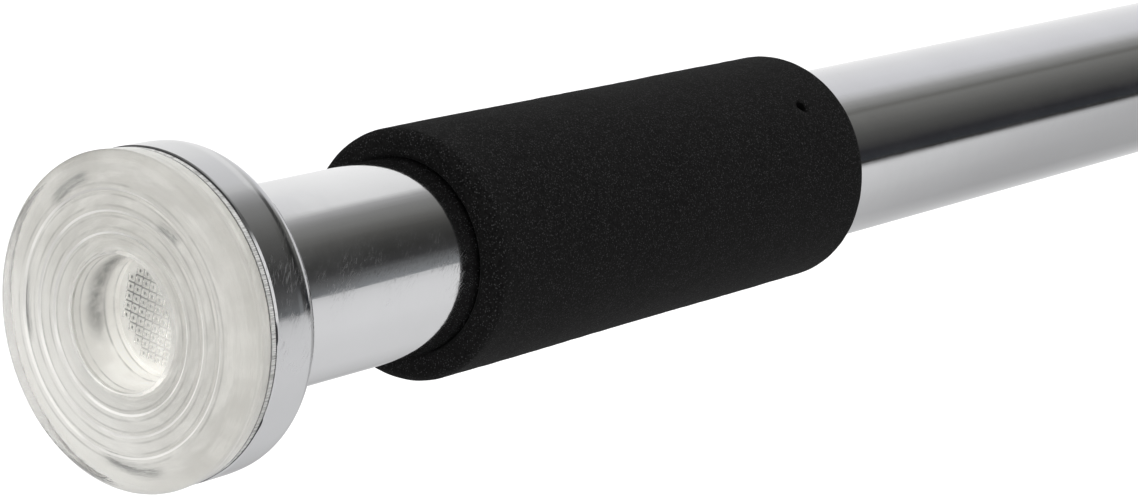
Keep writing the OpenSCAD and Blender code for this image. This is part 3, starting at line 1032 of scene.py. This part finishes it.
FAR_STUDIO = [(-180, 0.93), (-30, (0.035, 0.038, 0.043)), (-6, (0.035, 0.038, 0.043)),
              (6, (0.028, 0.028, 0.032)), (17, (0.060, 0.060, 0.059)), (27, (0.085, 0.085, 0.082)),
              (37, (0.118, 0.118, 0.113)), (47, (0.158, 0.157, 0.150)), (57, (0.195, 0.195, 0.187)),
              (62.5, (0.155, 0.153, 0.145)), (67, (0.22, 0.22, 0.213)), (77, (0.34, 0.34, 0.335)),
              (87, (0.56, 0.56, 0.57)), (96, (0.68, 0.68, 0.705)), (116, (0.74, 0.74, 0.765)),
              (136, (0.78, 0.78, 0.795)), (156, (0.85, 0.85, 0.86)), (176, 0.92), (180, 0.92)]
# What it sees back past the near end
BACK_STUDIO = [(-180, 0.9), (40, 0.95), (48, 0.80), (56, (0.16, 0.16, 0.158)), (68, (0.07, 0.07, 0.069)),
               (84, 0.05), (96, (0.12, 0.12, 0.118)), (108, 0.30), (116, (0.66, 0.66, 0.67)),
               (135, (0.78, 0.78, 0.79)), (180, 0.9)]
# What is seen straight along the bar, beyond its far end and back past its near end
BEYOND = (0.72, 0.72, 0.73)
BEHIND = 0.92
# Where each studio comes in, from the direction's share along the bar where it starts and where it is whole
STUDIOS_ALONG = [(0.723, 0.738, NEAR_STUDIO), (0.765, 0.785, BEND_STUDIO), (0.81, 0.835, FAR_STUDIO),
                 (0.895, 0.93, BEYOND), (-0.58, -0.64, BACK_STUDIO), (-0.86, -0.92, BEHIND)]
# Nearer to square on the bar than this, the back of the studio is like its front
SAME_BEHIND = (0.70, 0.62)

# The light from all round, and what is seen through the clear vinyl
SOFT_LIGHT = 0.80
SEEN_THROUGH = (0.95, 0.95, 0.93)


def studio(tree, roll, stops):
    """The studio's tones round the bar from (degrees, tone) stops, or its one tone all round."""
    if not isinstance(stops, list):
        return stops
    return ramp(tree, roll, [(angle / 360 + 0.5, tone) for angle, tone in stops])


def roll_of(tree, direction):
    """How far along the bar a direction points, and its roll about it as a share of a turn, from 0 to 1."""
    x, y, z = node(tree, "ShaderNodeSeparateXYZ", {"Vector": direction}).outputs
    both = times(tree, maths(tree, "ABSOLUTE", y), -1.0)
    inputs = {0: smooth(tree, x, *SAME_BEHIND), 2: y, 3: both}
    side = node(tree, "ShaderNodeMix", inputs, data_type="FLOAT").outputs[0]
    angle = maths(tree, "ARCTAN2", z, times(tree, side, -1.0))
    return x, plus(tree, maths(tree, "DIVIDE", angle, FULL_TURN), 0.5)


def make_world():
    """Plain soft light from all round; polished metal and clear plastic see a studio with a dark side."""
    world = bpy.data.worlds.new("studio")
    bpy.context.scene.world = world
    world.use_nodes = True
    tree = world.node_tree
    tree.nodes.clear()
    x, roll = roll_of(tree, node(tree, "ShaderNodeTexCoord").outputs["Generated"])
    seen = studio(tree, roll, CUP_STUDIO)
    for start, end, stops in STUDIOS_ALONG:
        seen = mixed(tree, smooth(tree, x, start, end), seen, studio(tree, roll, stops))
    path = node(tree, "ShaderNodeLightPath").outputs
    plain = mixed(tree, path["Is Camera Ray"], SOFT_LIGHT, WHITE)
    mirrored = mixed(tree, path["Is Glossy Ray"], plain, seen)
    colour = mixed(tree, path["Is Transmission Ray"], mirrored, SEEN_THROUGH)
    background = node(tree, "ShaderNodeBackground", {"Color": colour, "Strength": 1.0})
    node(tree, "ShaderNodeOutputWorld", {"Surface": background.outputs[0]})


FLOOR_Z = -0.3
FLOOR_FRONT = -2.9
FLOOR_END = 12.0
# The floor's painted shading across the bar, from how many metres behind it, below the bar and further along
FLOOR_BELOW = [(-2.0, 0.50), (-1.75, 0.53), (-1.4, 0.56), (-0.8, 0.60), (-0.3, 0.62), (0.04, 0.58),
               (0.16, 0.49), (0.28, 0.40), (0.5, 0.44), (1.0, 0.75)]
FLOOR_BEYOND = [(-2.0, 0.03), (-1.5, 0.05), (-1.2, 0.30), (-0.9, 0.36), (-0.3, 0.37), (0.0, 0.33),
                (0.12, 0.40), (0.27, 0.50), (0.44, 0.56), (1.0, 0.62)]
FLOOR_REACH = 2.0
FLOOR_BLUE = 1.01
# Where these take over, as shares along the bar of the direction from the near end
BEYOND_STARTS = (0.84, 0.93)
FRONT_STARTS = (0.80, 0.84)
BACK_STARTS = (-0.86, -0.92)
# How many metres in front of the bar the floor is painted dark as shade there
FRONT_FADES = (-0.9, -2.1)
DARK_FRONT = 0.03


def floor_ramp(tree, y, stops):
    """The floor's tone across the bar from (metres behind it, tone) stops."""
    half = 0.5 / FLOOR_REACH
    place = maths(tree, "MULTIPLY_ADD", y, half, 0.5)
    return ramp(tree, place, [(0.5 + at * half, (tone, tone, tone * FLOOR_BLUE)) for at, tone in stops])


def floor_tone(tree, place):
    """The floor's painted shading as polished metal sees it, changing in lightness with its place."""
    y = node(tree, "ShaderNodeSeparateXYZ", {"Vector": place}).outputs["Y"]
    away = node(tree, "ShaderNodeVectorMath", {0: place}, operation="NORMALIZE").outputs[0]
    along = node(tree, "ShaderNodeSeparateXYZ", {"Vector": away}).outputs["X"]
    beyond = smooth(tree, along, *BEYOND_STARTS)
    tone = mixed(tree, beyond, floor_ramp(tree, y, FLOOR_BELOW), floor_ramp(tree, y, FLOOR_BEYOND))
    front = times(tree, smooth(tree, along, *FRONT_STARTS), smooth(tree, y, *FRONT_FADES))
    tone = mixed(tree, front, tone, DARK_FRONT)
    return mixed(tree, smooth(tree, along, *BACK_STARTS), tone, WHITE)


def floor_material():
    """Pale with painted shading where polished metal sees it, but white to the camera and through the vinyl,
    and clear from below.
    """
    made = bpy.data.materials.new("pale_floor")
    made.use_nodes = True
    tree = made.node_tree
    tree.nodes.clear()
    place = node(tree, "ShaderNodeNewGeometry").outputs
    path = node(tree, "ShaderNodeLightPath").outputs
    seen_plain = maths(tree, "MAXIMUM", path["Is Camera Ray"], path["Is Transmission Ray"])
    colour = mixed(tree, seen_plain, floor_tone(tree, place["Position"]), WHITE)
    matte = node(tree, "ShaderNodeBsdfDiffuse", {"Color": colour}).outputs[0]
    clear = node(tree, "ShaderNodeBsdfTransparent").outputs[0]
    chosen = node(tree, "ShaderNodeMixShader", {0: place["Backfacing"], 1: matte, 2: clear})
    node(tree, "ShaderNodeOutputMaterial", {"Surface": chosen.outputs[0]})
    return made


def make_floor():
    """A plain pale floor that keeps shadows."""
    corners = [(x, y, FLOOR_Z) for y in (FLOOR_FRONT, FLOOR_END) for x in (-FLOOR_END, FLOOR_END)]
    data = bpy.data.meshes.new("floor")
    data.from_pydata(corners, [], [(0, 1, 3, 2)])
    data.materials.append(floor_material())
    added("floor", data)


def make_lamp(name, strength, spread, azimuth, elevation):
    """A soft distant lamp that polished metal doesn't mirror."""
    data = bpy.data.lights.new(name, "SUN")
    data.energy = strength
    data.angle = math.radians(spread)
    lamp = added(name, data)
    lamp.visible_glossy = False
    a, e = math.radians(azimuth), math.radians(elevation)
    towards = Vector((math.sin(a) * math.cos(e), -math.cos(a) * math.cos(e), math.sin(e)))
    lamp.rotation_mode = "QUATERNION"
    lamp.rotation_quaternion = towards.to_track_quat("Z", "Y")


# The camera looks at a point near the axis, from the near end
AIM = Vector((0.1074, 0, -0.0058))
CAMERA_DISTANCE = 0.5508
CAMERA_HEADING = 37.22
CAMERA_DOWN = 11.24
LENS = 102.1
CLIP_START = 0.01


def make_camera():
    """The camera, close to the near end and looking along the bar."""
    data = bpy.data.cameras.new("camera")
    data.lens = LENS
    data.clip_start = CLIP_START
    camera = added("camera", data)
    heading, down = math.radians(CAMERA_HEADING), math.radians(CAMERA_DOWN)
    level = Vector((math.cos(heading), math.sin(heading), 0.0)) * math.cos(down)
    forward = level + Vector((0.0, 0.0, -math.sin(down)))
    camera.rotation_mode = "QUATERNION"
    camera.rotation_quaternion = forward.to_track_quat("-Z", "Y")
    camera.location = AIM - forward * CAMERA_DISTANCE
    bpy.context.scene.camera = camera


make_camera()
make_world()
make_floor()
make_lamp("key", strength=0.9, spread=40, azimuth=300, elevation=55)
make_lamp("back", strength=0.5, spread=50, azimuth=160, elevation=60)
make_lamp("fill", strength=0.5, spread=60, azimuth=282, elevation=14)
make_lamp("far fill", strength=0.35, spread=60, azimuth=80, elevation=15)
finish_solids()
make_pads()
make_grips()
make_chrome()
bpy.context.scene.view_settings.view_transform = "Standard"
